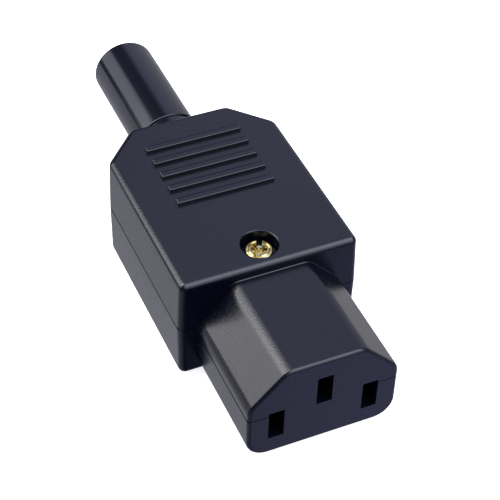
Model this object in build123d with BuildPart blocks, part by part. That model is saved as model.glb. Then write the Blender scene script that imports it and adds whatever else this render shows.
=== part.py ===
from build123d import *
import math
import os

# Rewireable three-pole mains connector, in millimetres.
# The engagement face lies in the XZ plane, the cord leaves along +Y and the cover lifts along +Z.
# The origin is midway between the live and neutral slots.

# Pins of the inlet, and the room of the slots around them
pin_spacing = 14.0
earth_rise = 4.0
pin_wide = 2.0
pin_tall = 4.0
slot_side_gap = 0.16
slot_end_gap = 0.5

# Nose that enters the inlet
nose_long = 18.15
nose_side_wall = 1.85
nose_roof = 2.62
nose_floor = 2.7
nose_bevel_across = 5.4
nose_bevel_down = 5.6
nose_corner = 3.15
nose_ridge_round = 2.6
face_round = 0.55
split_below_slot = 0.5

# Casing behind the nose, stepped out from it on every side
body_long = 35.0
step_side = 2.6
step_top = 1.65
step_bottom = 0.85
step_split = 0.85
body_bevel_along = 6.35
cover_lean = 2.0
base_lean = -1.0
cover_edge_round = 0.95
base_edge_round = 1.25
front_edge_round = 1.0
bevel_edge_round = 1.8

# Walls, and the lip that locates the cover on the base
wall = 1.6
front_wall = 1.6
lip_thick = 0.6
lip_tall = 0.8
lip_gap = 0.08

# Locating pegs in the nose
peg_place = 8.0
peg_radius = 0.7
peg_long = 1.5
peg_gap = 0.08

# Grip ribs on the cover
rib_count = 5
rib_pitch = 3.135
rib_half = 7.6
rib_wide = 1.4
rib_tall = 0.55
rib_round = 0.18
rib_end_margin = 5.26

# Cover screw, its washer and its insert
screw_setback = 2.62
screw_radius = 1.25
screw_long = 12.0
screw_head_radius = 2.05
screw_head_tall = 0.9
screw_head_round = 0.35
screw_point_share = 0.25
drive_slot_wide = 0.55
drive_deep = 0.45
drive_cross_long = 2.2
drive_turn = -25.0
recess_radius = 2.73
recess_deep = 2.4
washer_side_gap = 0.13
washer_thick = 0.5
washer_gap = 0.1
cover_hole_gap = 0.15
cup_wall = 1.4
boss_wall = 0.68
boss_above_strap = 0.5
insert_wall = 0.4
insert_long = 5.0
insert_sunk = 0.2
insert_groove = 0.2
insert_groove_long = 1.0
insert_gap = 0.02
thread_gap = 0.05
tip_room = 0.5

# Room of the contact channels around the contacts
channel_gap = 0.35
channel_headroom = 0.8

# Female contacts
strip_thick = 0.7
leaf_thick = 0.6
leaf_entry = 5.2
leaf_pinch_place = 9.0
leaf_root = 13.4
leaf_mouth_gap = 0.4
leaf_squeeze = 0.05
leaf_root_gap = 0.25
leaf_above_pin = 0.2
strip_below_pin = 0.2
strap_side = 1.5
strap_gap = 0.1
strap_clear_of_wall = 0.15

# Back-up springs on the contacts
spring_thick = 0.3
spring_long = 3.0
spring_drop = 2.6
spring_gap = 0.04

# Wire terminals
pad_side_room = 1.3
pad_stagger = 2.3
pad_wide = 4.8
pad_long = 5.6
pad_tall = 2.4
terminal_screw_radius = 1.5
terminal_screw_long = 4.0
terminal_head_radius = 2.4
terminal_head_tall = 1.7
terminal_head_round = 0.3
terminal_slot_wide = 0.7
terminal_slot_deep = 0.8
terminal_tip_room = 0.3
saddle_thick = 0.7
saddle_lip_tall = 1.0
saddle_lip_thick = 0.6
saddle_gap = 0.06

# Beds in the base that carry the contacts
bed_margin = 0.3
spine_half = 2.6

# Cord entry and rubber sleeve
cord_height = 3.3
cord_radius = 3.5
sleeve_wall = 1.6
sleeve_long = 20.8
sleeve_end_round = 0.35
collar_step = 0.35
collar_long = 4.25
collar_round = 0.2
tail_margin = 2.47
neck_wall = 1.35
neck_gap = 0.05
flange_gap = 0.2
flange_long = 2.3

# Cord clamp
clamp_room_behind = 2.5
post_side_room = 2.0
clamp_post_radius = 2.5
clamp_post_top = 5.0
clamp_bar_long = 5.0
clamp_bar_thick = 1.8
clamp_hump_wall = 1.5
clamp_hump_gap = 0.6
clamp_bar_round = 0.4
clamp_screw_radius = 1.1
clamp_screw_long = 7.0
clamp_head_radius = 2.1
clamp_head_tall = 1.4
clamp_pilot_gap = 0.04
anvil_long = 2.4
anvil_top = 1.6

# Heights and half-widths that follow from the contacts
outer_pin = pin_spacing / 2
slot_wide = pin_wide + 2 * slot_side_gap
slot_tall = pin_tall + 2 * slot_end_gap
strip_bottom = -pin_tall / 2 - strip_below_pin - strip_thick
leaf_top = pin_tall / 2 + leaf_above_pin
web_half = pin_wide / 2 + leaf_root_gap + leaf_thick
channel_half = pin_wide / 2 + leaf_mouth_gap + leaf_thick + channel_gap
channel_top = leaf_top + channel_headroom
strap_bottom = strip_bottom + earth_rise

# Outside of the nose and the casing
nose_half = outer_pin + channel_half + nose_side_wall
nose_top = earth_rise + channel_top + nose_roof
nose_bottom = strip_bottom - nose_floor
nose_split = slot_tall / 2 - split_below_slot
body_half = nose_half + step_side
body_top = nose_top + step_top
body_bottom = nose_bottom - step_bottom
body_split = nose_split + step_split
body_front = nose_long
body_back = body_front + body_long
cavity_half = body_half - wall
cavity_front = body_front + wall
cavity_back = body_back - wall
cavity_floor = body_bottom + wall
cavity_roof = body_top - wall

# Sleeve's radii, and the casing's tail that frames its collar
sleeve_radius = cord_radius + sleeve_wall
collar_radius = sleeve_radius + collar_step
neck_radius = cord_radius + neck_wall
flange_radius = cavity_roof - cord_height - flange_gap
sleeve_end = body_back + collar_long + sleeve_long
tail_half = collar_radius + tail_margin

# Cover screw's places
screw_place = cavity_front + screw_setback
recess_floor = body_top - recess_deep
head_seat = recess_floor + washer_thick
screw_tip = head_seat - screw_long
washer_radius = recess_radius - washer_side_gap
insert_radius = screw_radius + thread_gap + insert_wall
boss_radius = insert_radius + insert_gap + boss_wall
boss_top = strap_bottom + strip_thick + boss_above_strap
insert_bottom = boss_top - insert_sunk - insert_long
strap_half = boss_radius + strap_gap + strap_side
strap_front = cavity_front + strap_clear_of_wall
strap_long = 2 * (screw_place - strap_front)

# Cord clamp's places, and the pads midway between the insert's boss and the clamp
clamp_post_across = cavity_half - post_side_room - clamp_post_radius
clamp_place = cavity_back - flange_long - clamp_room_behind - clamp_bar_long / 2
clamp_hump_top = cord_height + cord_radius + clamp_hump_wall
clamp_hump_half = clamp_post_across - clamp_head_radius - clamp_hump_gap
clamp_seat = clamp_post_top + clamp_bar_thick
outer_pad_across = cavity_half - pad_side_room - pad_wide / 2
earth_pad_place = (strap_front + strap_long + clamp_place - clamp_bar_long / 2) / 2
outer_pad_place = earth_pad_place - pad_stagger
first_rib_edge = body_back - rib_end_margin - rib_wide - (rib_count - 1) * rib_pitch

# Each pole's name, its pin's place across and up, and its wire pad's place across and along
poles = [
    ("live", outer_pin, 0.0, outer_pad_across, outer_pad_place),
    ("neutral", -outer_pin, 0.0, -outer_pad_across, outer_pad_place),
    ("earth", 0.0, earth_rise, 0.0, earth_pad_place),
]

os.makedirs("parts", exist_ok=True)


def body_outline(inset):
    """Plan of the casing, moved in by a wall on every side."""
    half = body_half - inset
    front = body_front + inset
    back = body_back - inset
    # The bevel is one line, along * x + across * y = reach, moved in square to itself
    across, along = body_half - tail_half, body_bevel_along
    reach = along * body_half + across * (body_back - along)
    reach -= inset * math.hypot(across, along)
    shoulder = (reach - along * half) / across
    tail = (reach - across * back) / along
    right = [(half, front), (half, shoulder), (tail, back)]
    left = [(-x, y) for x, y in reversed(right)]
    return right + left


def body_block(low, high, inset, lean):
    """Block on the casing's plan between two heights, whose two long sides lean in from the parting plane."""
    with BuildPart() as block:
        with BuildSketch(Plane.XY.offset(low)):
            Polygon(*body_outline(inset), align=None)
        extrude(amount=high - low)
        if lean:
            sides = block.faces().filter_by(Axis.X)
            draft(sides, Plane.XY.offset(body_split), lean)
    return block.part


# Space in both shells for the contacts, and the slots for the inlet's pins
with BuildPart() as contact_space:
    for _, pin_x, pin_z, _, _ in poles:
        with BuildSketch(Plane.XZ.offset(-front_wall)):
            with Locations((pin_x, pin_z + strip_bottom)):
                Rectangle(2 * channel_half, channel_top - strip_bottom, align=(Align.CENTER, Align.MIN))
        extrude(amount=front_wall - cavity_front)
        with BuildSketch(Plane.XZ):
            with Locations((pin_x, pin_z)):
                Rectangle(slot_wide, slot_tall)
        extrude(amount=-front_wall)

# Hole through the casing's back wall for the sleeve's neck
with BuildPart() as cord_entry:
    with BuildSketch(Plane.XZ.offset(-cavity_back)):
        with Locations((0, cord_height)):
            Circle(neck_radius + neck_gap)
    extrude(amount=-wall)

# Nose of the cover, with its two bevels
with BuildPart() as nose_cover:
    with BuildSketch(Plane.XZ):
        with BuildLine():
            Polyline(
                (-nose_half, nose_split),
                (-nose_half, nose_top - nose_bevel_down),
                (-nose_half + nose_bevel_across, nose_top),
                (nose_half - nose_bevel_across, nose_top),
                (nose_half, nose_top - nose_bevel_down),
                (nose_half, nose_split),
                close=True,
            )
        make_face()
    extrude(amount=-nose_long)
    ridges = nose_cover.edges().filter_by(Axis.Y).group_by(Axis.Z)
    fillet(ridges[-1] + ridges[-2], nose_ridge_round)
    face_edges = nose_cover.faces().sort_by(Axis.Y)[0].edges().sort_by(Axis.Z)
    fillet(face_edges[1:], face_round)

# Nose of the base, with its two round corners
with BuildPart() as nose_base:
    with BuildSketch(Plane.XZ):
        with Locations((0, nose_split)):
            Rectangle(2 * nose_half, nose_split - nose_bottom, align=(Align.CENTER, Align.MAX))
    extrude(amount=-nose_long)
    fillet(nose_base.edges().filter_by(Axis.Y).group_by(Axis.Z)[0], nose_corner)
    face_edges = nose_base.faces().sort_by(Axis.Y)[0].edges().sort_by(Axis.Z)
    fillet(face_edges[:-1], face_round)

# Upper shell: the cover, with grip ribs, the screw's recess and its boss
with BuildPart() as upper_shell:
    add(body_block(body_split, body_top, 0, cover_lean))
    uprights = upper_shell.edges().filter_by(Axis.Z, tolerance=10).sort_by(Axis.Y)
    fillet(uprights[:2], front_edge_round)
    fillet(uprights[2:], bevel_edge_round)
    fillet(upper_shell.faces().sort_by(Axis.Z)[-1].edges(), cover_edge_round)
    add(nose_cover.part)
    add(body_block(body_split, cavity_roof, wall, cover_lean), mode=Mode.SUBTRACT)
    lip_space = body_block(body_split, body_split + lip_tall + lip_gap, wall - lip_thick - lip_gap, 0)
    add(lip_space, mode=Mode.SUBTRACT)
    with BuildSketch(Plane.XY.offset(recess_floor - cup_wall)):
        with Locations((0, screw_place)):
            Circle(recess_radius + cup_wall)
    extrude(amount=cavity_roof + cup_wall / 2 - recess_floor + cup_wall)
    with BuildSketch(Plane.XY.offset(boss_top)):
        with Locations((0, screw_place)):
            Circle(boss_radius)
    extrude(amount=cavity_roof - boss_top)
    add(contact_space.part, mode=Mode.SUBTRACT)
    add(cord_entry.part, mode=Mode.SUBTRACT)
    with Locations((0, screw_place, body_top)):
        CounterBoreHole(screw_radius + cover_hole_gap, recess_radius, recess_deep)
    with BuildSketch(Plane.XY.offset(nose_split)):
        with Locations((-outer_pin / 2, peg_place), (outer_pin / 2, peg_place)):
            Circle(peg_radius)
    extrude(amount=-peg_long)
    with BuildSketch(Plane.XY.offset(body_top)) as rib_plan:
        with Locations(*[(0, first_rib_edge + i * rib_pitch) for i in range(rib_count)]):
            Rectangle(2 * rib_half, rib_wide, align=(Align.CENTER, Align.MIN))
    extrude(amount=rib_tall)
    rib_tops = upper_shell.faces().sort_by(Axis.Z)[-rib_count:]
    fillet(rib_tops.edges(), rib_round)
upper_shell.part.label = "upper_shell"
export_step(upper_shell.part, "parts/upper_shell.step")

# Lower shell: the base, with the contact beds, the insert's boss and the cord clamp's posts
with BuildPart() as lower_shell:
    add(body_block(body_bottom, body_split, 0, base_lean))
    uprights = lower_shell.edges().filter_by(Axis.Z, tolerance=10).sort_by(Axis.Y)
    fillet(uprights[:2], front_edge_round)
    fillet(uprights[2:], bevel_edge_round)
    fillet(lower_shell.faces().sort_by(Axis.Z)[0].edges(), base_edge_round)
    add(nose_base.part)
    add(body_block(cavity_floor, body_split, wall, base_lean), mode=Mode.SUBTRACT)
    add(body_block(body_split, body_split + lip_tall, wall - lip_thick, 0))
    add(body_block(body_split, body_split + lip_tall, wall, 0), mode=Mode.SUBTRACT)
    # Beds under the outer contacts
    bed_inner = outer_pin - web_half - bed_margin
    bed_outer = outer_pad_across + pad_wide / 2 + bed_margin
    bed_end = outer_pad_place + pad_long / 2 + bed_margin
    with BuildSketch(Plane.XY.offset(cavity_floor)):
        for side in (-1, 1):
            with Locations((side * (bed_inner + bed_outer) / 2, cavity_front)):
                Rectangle(bed_outer - bed_inner, bed_end - cavity_front, align=(Align.CENTER, Align.MIN))
    extrude(amount=strip_bottom - cavity_floor)
    # Spine under the earth contact
    spine_end = earth_pad_place + pad_long / 2 + bed_margin
    with BuildSketch(Plane.XY.offset(cavity_floor)):
        with Locations((0, cavity_front)):
            Rectangle(2 * spine_half, spine_end - cavity_front, align=(Align.CENTER, Align.MIN))
    extrude(amount=strap_bottom - cavity_floor)
    # Boss of the insert and posts of the cord clamp
    with BuildSketch(Plane.XY.offset(cavity_floor)):
        with Locations((0, screw_place)):
            Circle(boss_radius)
    extrude(amount=boss_top - cavity_floor)
    with BuildSketch(Plane.XY.offset(cavity_floor)):
        with Locations((-clamp_post_across, clamp_place), (clamp_post_across, clamp_place)):
            Circle(clamp_post_radius)
    extrude(amount=clamp_post_top - cavity_floor)
    # Anvil under the cord, hollowed to the cord's radius
    with BuildSketch(Plane.XZ.offset(-(clamp_place - anvil_long / 2))):
        with Locations((0, cavity_floor)):
            Rectangle(2 * clamp_post_across, anvil_top - cavity_floor, align=(Align.CENTER, Align.MIN))
        with Locations((0, cord_height)):
            Circle(cord_radius, mode=Mode.SUBTRACT)
    extrude(amount=-anvil_long)
    add(contact_space.part, mode=Mode.SUBTRACT)
    add(cord_entry.part, mode=Mode.SUBTRACT)
    # Seat of the insert, with room below it for the screw's tip
    with Locations((0, screw_place, boss_top)):
        Hole(insert_radius + insert_gap, depth=boss_top - insert_bottom)
        Hole(screw_radius + thread_gap, depth=boss_top - min(insert_bottom, screw_tip) + tip_room)
    # Rooms for the tips of the terminal screws, and pilot holes for the clamp screws
    tip_depth = terminal_screw_long + terminal_tip_room - saddle_thick - pad_tall
    for _, _, pin_z, pad_x, pad_y in poles:
        with Locations((pad_x, pad_y, pin_z + strip_bottom)):
            Hole(terminal_screw_radius + terminal_tip_room, depth=tip_depth)
    with Locations((-clamp_post_across, clamp_place, clamp_post_top), (clamp_post_across, clamp_place, clamp_post_top)):
        Hole(clamp_screw_radius + clamp_pilot_gap, depth=clamp_screw_long - clamp_bar_thick + tip_room)
    # Sockets for the cover's pegs
    with Locations((-outer_pin / 2, peg_place, nose_split), (outer_pin / 2, peg_place, nose_split)):
        Hole(peg_radius + peg_gap, depth=peg_long + peg_gap)
lower_shell.part.label = "lower_shell"
export_step(lower_shell.part, "parts/lower_shell.step")


def pole_contact(pin_x, pin_z, pad_x, pad_y, round_boss):
    """Folded brass contact: two leaves on a strip that leads back to a thick tapped pad."""
    bottom = pin_z + strip_bottom
    pad_front = pad_y - pad_long / 2
    with BuildPart() as contact:
        with BuildSketch(Plane.XY.offset(bottom)):
            Polygon(
                (pin_x - web_half, leaf_entry),
                (pin_x + web_half, leaf_entry),
                (pin_x + web_half, strap_front),
                (pad_x + pad_wide / 2, pad_front),
                (pad_x + pad_wide / 2, pad_front + pad_long),
                (pad_x - pad_wide / 2, pad_front + pad_long),
                (pad_x - pad_wide / 2, pad_front),
                (pin_x - web_half, strap_front),
                align=None,
            )
            if round_boss:
                with Locations((pin_x, strap_front)):
                    Rectangle(2 * strap_half, strap_long, align=(Align.CENTER, Align.MIN))
                with Locations((pin_x, screw_place)):
                    Circle(boss_radius + strap_gap, mode=Mode.SUBTRACT)
        extrude(amount=strip_thick)
        with BuildSketch(Plane.XY.offset(bottom)):
            for side in (-1, 1):
                mouth = pin_x + side * (pin_wide / 2 + leaf_mouth_gap)
                pinch = pin_x + side * (pin_wide / 2 - leaf_squeeze)
                root = pin_x + side * (pin_wide / 2 + leaf_root_gap)
                Polygon(
                    (mouth, leaf_entry),
                    (pinch, leaf_pinch_place),
                    (root, leaf_root),
                    (root + side * leaf_thick, leaf_root),
                    (pinch + side * leaf_thick, leaf_pinch_place),
                    (mouth + side * leaf_thick, leaf_entry),
                    align=None,
                )
        extrude(amount=leaf_top - strip_bottom)
        with BuildSketch(Plane.XY.offset(bottom)):
            with Locations((pad_x, pad_y)):
                Rectangle(pad_wide, pad_long)
        extrude(amount=pad_tall)
        with Locations((pad_x, pad_y, bottom + pad_tall)):
            Hole(terminal_screw_radius + thread_gap, depth=pad_tall)
    return contact.part


def pole_spring(pin_x, pin_z):
    """Steel clip that sits on top of a contact's two leaves and holds them in from outside."""
    spread = (leaf_mouth_gap + leaf_squeeze) / (leaf_pinch_place - leaf_entry) * spring_long / 2
    leg = pin_wide / 2 - leaf_squeeze + leaf_thick + spread + spring_gap
    top = pin_z + leaf_top
    with BuildPart() as spring:
        with BuildSketch(Plane.XZ.offset(-(leaf_pinch_place - spring_long / 2))):
            with Locations((pin_x, top + spring_thick)):
                Rectangle(2 * (leg + spring_thick), spring_thick + spring_drop, align=(Align.CENTER, Align.MAX))
            with Locations((pin_x, top)):
                Rectangle(2 * leg, spring_drop, align=(Align.CENTER, Align.MAX), mode=Mode.SUBTRACT)
        extrude(amount=-spring_long)
    return spring.part


def pole_saddle(pin_z, pad_x, pad_y):
    """Square plate with two turned-down lips that presses a wire on its pad."""
    seat = pin_z + strip_bottom + pad_tall
    inner = pad_wide / 2 + saddle_gap
    with BuildPart() as saddle:
        with BuildSketch(Plane.XZ.offset(-(pad_y - pad_long / 2))):
            with Locations((pad_x, seat + saddle_thick)):
                full = saddle_thick + saddle_lip_tall
                Rectangle(2 * (inner + saddle_lip_thick), full, align=(Align.CENTER, Align.MAX))
            with Locations((pad_x, seat)):
                Rectangle(2 * inner, saddle_lip_tall, align=(Align.CENTER, Align.MAX), mode=Mode.SUBTRACT)
        extrude(amount=-pad_long)
        with Locations((pad_x, pad_y, seat + saddle_thick)):
            Hole(terminal_screw_radius + thread_gap, depth=saddle_thick)
    return saddle.part


def round_screw(x, y, seat, shank_radius, shank_long, head_radius, head_tall, head_round):
    """Screw along Z with a round head on its seat, before its drive is cut."""
    with BuildPart() as screw:
        with BuildSketch(Plane.XY.offset(seat)):
            with Locations((x, y)):
                Circle(head_radius)
        extrude(amount=head_tall)
        fillet(screw.faces().sort_by(Axis.Z)[-1].edges(), head_round)
        with BuildSketch(Plane.XY.offset(seat)):
            with Locations((x, y)):
                Circle(shank_radius)
        extrude(amount=-shank_long)
        chamfer(screw.faces().sort_by(Axis.Z)[0].edges(), shank_radius * screw_point_share)
    return screw.part


# Contacts, back-up springs, wire saddles and terminal screws of the three poles
for pole, pin_x, pin_z, pad_x, pad_y in poles:
    contact = pole_contact(pin_x, pin_z, pad_x, pad_y, pole == "earth")
    contact.label = f"{pole}_contact"
    export_step(contact, f"parts/{pole}_contact.step")

    spring = pole_spring(pin_x, pin_z)
    spring.label = f"{pole}_spring"
    export_step(spring, f"parts/{pole}_spring.step")

    saddle = pole_saddle(pin_z, pad_x, pad_y)
    saddle.label = f"{pole}_saddle"
    export_step(saddle, f"parts/{pole}_saddle.step")

    seat = pin_z + strip_bottom + pad_tall + saddle_thick
    with BuildPart() as terminal_screw:
        add(
            round_screw(
                pad_x,
                pad_y,
                seat,
                terminal_screw_radius,
                terminal_screw_long,
                terminal_head_radius,
                terminal_head_tall,
                terminal_head_round,
            )
        )
        with BuildSketch(Plane.XY.offset(seat + terminal_head_tall)):
            with Locations((pad_x, pad_y)):
                Rectangle(terminal_slot_wide, 2 * terminal_head_radius)
        extrude(amount=-terminal_slot_deep, mode=Mode.SUBTRACT)
    terminal_screw.part.label = f"{pole}_terminal_screw"
    export_step(terminal_screw.part, f"parts/{pole}_terminal_screw.step")

# Cover screw, with a slot across its head and a shorter cross stroke
with BuildPart() as assembly_screw:
    add(
        round_screw(
            0,
            screw_place,
            head_seat,
            screw_radius,
            screw_long,
            screw_head_radius,
            screw_head_tall,
            screw_head_round,
        )
    )
    with BuildSketch(Plane.XY.offset(head_seat + screw_head_tall)):
        with Locations((0, screw_place)):
            Rectangle(drive_slot_wide, 2 * screw_head_radius, rotation=drive_turn)
            Rectangle(drive_cross_long, drive_slot_wide, rotation=drive_turn)
    extrude(amount=-drive_deep, mode=Mode.SUBTRACT)
assembly_screw.part.label = "assembly_screw"
export_step(assembly_screw.part, "parts/assembly_screw.step")

# Washer held under the cover screw's head
with BuildPart() as assembly_washer:
    with BuildSketch(Plane.XY.offset(recess_floor)):
        with Locations((0, screw_place)):
            Circle(washer_radius)
            Circle(screw_radius + washer_gap, mode=Mode.SUBTRACT)
    extrude(amount=washer_thick)
assembly_washer.part.label = "assembly_washer"
export_step(assembly_washer.part, "parts/assembly_washer.step")

# Threaded insert in the base, with one groove that keys it in the plastic
with BuildPart() as thread_insert:
    with BuildSketch(Plane.XY.offset(insert_bottom)):
        with Locations((0, screw_place)):
            Circle(insert_radius)
            Circle(screw_radius + thread_gap, mode=Mode.SUBTRACT)
    extrude(amount=insert_long)
    with BuildSketch(Plane.XY.offset(insert_bottom + (insert_long - insert_groove_long) / 2)):
        with Locations((0, screw_place)):
            Circle(insert_radius)
            Circle(insert_radius - insert_groove, mode=Mode.SUBTRACT)
    extrude(amount=insert_groove_long, mode=Mode.SUBTRACT)
thread_insert.part.label = "thread_insert"
export_step(thread_insert.part, "parts/thread_insert.step")

# Rubber sleeve: an inner flange and an outer collar grip the casing's back wall
with BuildPart() as cord_boot:
    with BuildSketch(Plane.YZ):
        with BuildLine():
            Polyline(
                (cavity_back - flange_long, cord_height + cord_radius),
                (cavity_back - flange_long, cord_height + flange_radius),
                (cavity_back, cord_height + flange_radius),
                (cavity_back, cord_height + neck_radius),
                (body_back, cord_height + neck_radius),
                (body_back, cord_height + collar_radius),
                (body_back + collar_long, cord_height + collar_radius),
                (body_back + collar_long, cord_height + sleeve_radius),
                (sleeve_end, cord_height + sleeve_radius),
                (sleeve_end, cord_height + cord_radius),
                close=True,
            )
        make_face()
    revolve(axis=Axis((0, 0, cord_height), (0, 1, 0)))
    rims = cord_boot.edges().filter_by(GeomType.CIRCLE)
    fillet(rims.group_by(Axis.Y)[-1].sort_by(SortBy.RADIUS)[-1:], sleeve_end_round)
    collar_rims = rims.filter_by(lambda edge: abs(edge.radius - collar_radius) < neck_gap)
    fillet(collar_rims, collar_round)
cord_boot.part.label = "cord_boot"
export_step(cord_boot.part, "parts/cord_boot.step")

# Cord clamp: an arched bar on the two posts
with BuildPart() as cord_clamp_bar:
    with BuildSketch(Plane.XZ.offset(-(clamp_place - clamp_bar_long / 2))):
        with Locations((0, clamp_post_top)):
            bar_half = clamp_post_across + clamp_post_radius
            Rectangle(2 * bar_half, clamp_bar_thick, align=(Align.CENTER, Align.MIN))
            hump_tall = clamp_hump_top - clamp_post_top
            Rectangle(2 * clamp_hump_half, hump_tall, align=(Align.CENTER, Align.MIN))
        with Locations((0, cord_height)):
            Circle(cord_radius, mode=Mode.SUBTRACT)
    extrude(amount=-clamp_bar_long)
    fillet(cord_clamp_bar.edges().filter_by(Axis.Z).group_by(Axis.X)[0], clamp_bar_round)
    fillet(cord_clamp_bar.edges().filter_by(Axis.Z).group_by(Axis.X)[-1], clamp_bar_round)
    fillet(cord_clamp_bar.edges().filter_by(Axis.Y).group_by(Axis.Z)[-1], clamp_bar_round)
    for side in (-1, 1):
        with Locations((side * clamp_post_across, clamp_place, clamp_seat)):
            Hole(clamp_screw_radius + clamp_pilot_gap, depth=clamp_bar_thick)
cord_clamp_bar.part.label = "cord_clamp_bar"
export_step(cord_clamp_bar.part, "parts/cord_clamp_bar.step")

# Self-tapping screws of the cord clamp
for name, side in (("clamp_screw_left", -1), ("clamp_screw_right", 1)):
    with BuildPart() as clamp_screw:
        add(
            round_screw(
                side * clamp_post_across,
                clamp_place,
                clamp_seat,
                clamp_screw_radius,
                clamp_screw_long,
                clamp_head_radius,
                clamp_head_tall,
                terminal_head_round,
            )
        )
        with BuildSketch(Plane.XY.offset(clamp_seat + clamp_head_tall)):
            with Locations((side * clamp_post_across, clamp_place)):
                Rectangle(terminal_slot_wide, 2 * clamp_head_radius)
        extrude(amount=-terminal_slot_deep, mode=Mode.SUBTRACT)
    clamp_screw.part.label = name
    export_step(clamp_screw.part, f"parts/{name}.step")
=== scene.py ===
"""Dressed model of a rewireable three-pole mains connector.

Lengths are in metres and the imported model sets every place: the engagement face lies in
the XZ plane, the cord leaves along +Y and the cover screw stands along +Z.
"""
import logging
import math
from abc import ABC, abstractmethod
from collections.abc import Iterable, Sequence
from dataclasses import dataclass
from enum import Enum
from functools import cache

import bmesh
import bpy
from mathutils import Matrix, Vector


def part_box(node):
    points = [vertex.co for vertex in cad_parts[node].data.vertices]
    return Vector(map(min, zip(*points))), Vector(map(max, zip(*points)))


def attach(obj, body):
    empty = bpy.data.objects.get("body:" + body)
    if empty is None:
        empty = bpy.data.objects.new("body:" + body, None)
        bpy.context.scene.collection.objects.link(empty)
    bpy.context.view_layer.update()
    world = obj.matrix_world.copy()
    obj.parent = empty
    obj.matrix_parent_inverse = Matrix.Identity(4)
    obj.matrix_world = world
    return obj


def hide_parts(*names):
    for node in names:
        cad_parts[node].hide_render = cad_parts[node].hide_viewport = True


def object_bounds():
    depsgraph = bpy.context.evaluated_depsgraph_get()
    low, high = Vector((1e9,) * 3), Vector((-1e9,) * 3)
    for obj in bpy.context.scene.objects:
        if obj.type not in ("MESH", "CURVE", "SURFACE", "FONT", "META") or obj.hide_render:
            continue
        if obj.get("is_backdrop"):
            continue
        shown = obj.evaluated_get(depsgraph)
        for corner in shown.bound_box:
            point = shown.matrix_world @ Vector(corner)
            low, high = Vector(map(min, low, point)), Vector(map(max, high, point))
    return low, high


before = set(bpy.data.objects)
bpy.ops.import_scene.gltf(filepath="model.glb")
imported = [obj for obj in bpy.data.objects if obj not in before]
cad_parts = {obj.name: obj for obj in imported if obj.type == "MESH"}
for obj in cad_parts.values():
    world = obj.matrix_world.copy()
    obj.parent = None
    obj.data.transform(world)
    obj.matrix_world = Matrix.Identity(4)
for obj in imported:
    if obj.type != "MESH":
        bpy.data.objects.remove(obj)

log = logging.getLogger("connector")

MM = 0.001
# Points of a mesh that are no farther apart than this are one point
WELD = 0.0001 * MM

Tree = bpy.types.NodeTree
Node = bpy.types.Node
Socket = bpy.types.NodeSocket
Piece = bpy.types.Object
Skin = bmesh.types.BMesh
# Place in a profile's plane or in plan
Point = tuple[float, float]
# Two ends of a range, or one size at two places
Pair = tuple[float, float]
# Stops of light round the object: the angle in degrees and the colour there
Ring = tuple[tuple[float, str], ...]


class Axis(Enum):
    """Direction that a turned piece's centre line runs in."""

    ALONG = "y"
    UP = "z"


class Drive(Enum):
    """Recess that a screwdriver enters."""

    SLOT = "slot"
    SLOT_AND_CROSS = "slot and cross"


def linear(hex_code: str) -> tuple[float, float, float, float]:
    """Turns an sRGB hex colour to the linear colour that shaders take.

    Args:
        hex_code: Colour as six hex digits after a hash sign.

    Returns:
        Linear red, green and blue, with an alpha of 1.
    """
    values = [int(hex_code[i : i + 2], 16) / 255 for i in (1, 3, 5)]
    red, green, blue = (v / 12.92 if v <= 0.04045 else ((v + 0.055) / 1.055) ** 2.4 for v in values)
    return red, green, blue, 1.0


def feed(tree: Tree, node: Node, inputs: dict) -> None:
    """Sets or links a node's inputs.

    Args:
        tree: Tree that the node is in.
        node: The node.
        inputs: What each input takes, by name or index: a value, or an output socket to link.
    """
    for key, value in inputs.items():
        if isinstance(value, Socket):
            tree.links.new(value, node.inputs[key])
        else:
            node.inputs[key].default_value = value


def add_node(tree: Tree, kind: str, inputs: dict | None = None, **settings) -> Node:
    """Adds one node with its settings, values and links.

    Args:
        tree: Tree that the node joins.
        kind: Blender's type name of the node.
        inputs: What each input takes, as in feed.
        **settings: The node's own properties.

    Returns:
        The new node.
    """
    node = tree.nodes.new(kind)
    for name, value in settings.items():
        setattr(node, name, value)
    feed(tree, node, inputs or {})
    return node


def calc(tree: Tree, operation: str, first: Socket | float, second: Socket | float = 0.0) -> Socket:
    """Adds one step of arithmetic and gives its result."""
    return add_node(tree, "ShaderNodeMath", {0: first, 1: second}, operation=operation).outputs[0]


def remap(
    tree: Tree,
    value: Socket,
    source: Pair = (0.0, 1.0),
    target: tuple[Socket | float, Socket | float] = (0.0, 1.0),
    smooth: bool = False,
) -> Socket:
    """Maps a value from one range to another and stops it at the range's ends.

    Args:
        tree: Tree of the new node.
        value: What is mapped.
        source: Range that it comes from.
        target: Range that it goes to.
        smooth: True for a soft start and end.

    Returns:
        The mapped value.
    """
    inputs = {"Value": value, "From Min": source[0], "From Max": source[1], "To Min": target[0], "To Max": target[1]}
    way = "SMOOTHSTEP" if smooth else "LINEAR"
    return add_node(tree, "ShaderNodeMapRange", inputs, interpolation_type=way).outputs["Result"]


def blend(tree: Tree, share: Socket, first: Socket | Sequence[float], second: Socket | Sequence[float]) -> Socket:
    """Mixes two colours, by the share that the second has."""
    # The Mix node keeps one set of sockets for each kind of data, and the colours come last
    return add_node(tree, "ShaderNodeMix", {"Factor": share, 6: first, 7: second}, data_type="RGBA").outputs[2]


def noise(tree: Tree, place: Socket, size: float, detail: float, roughness: float = 0.5) -> Socket:
    """Adds noise with cells of one size, and gives its value."""
    inputs = {"Vector": place, "Scale": 1 / size, "Detail": detail, "Roughness": roughness}
    return add_node(tree, "ShaderNodeTexNoise", inputs).outputs["Fac"]


def bumps(tree: Tree, height: Socket, distance: float, strength: Socket | float = 1.0) -> Socket:
    """Raises a surface by a height between 0 and 1 times a distance, and gives its normal."""
    inputs = {"Height": height, "Distance": distance, "Strength": strength}
    return add_node(tree, "ShaderNodeBump", inputs).outputs["Normal"]


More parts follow.
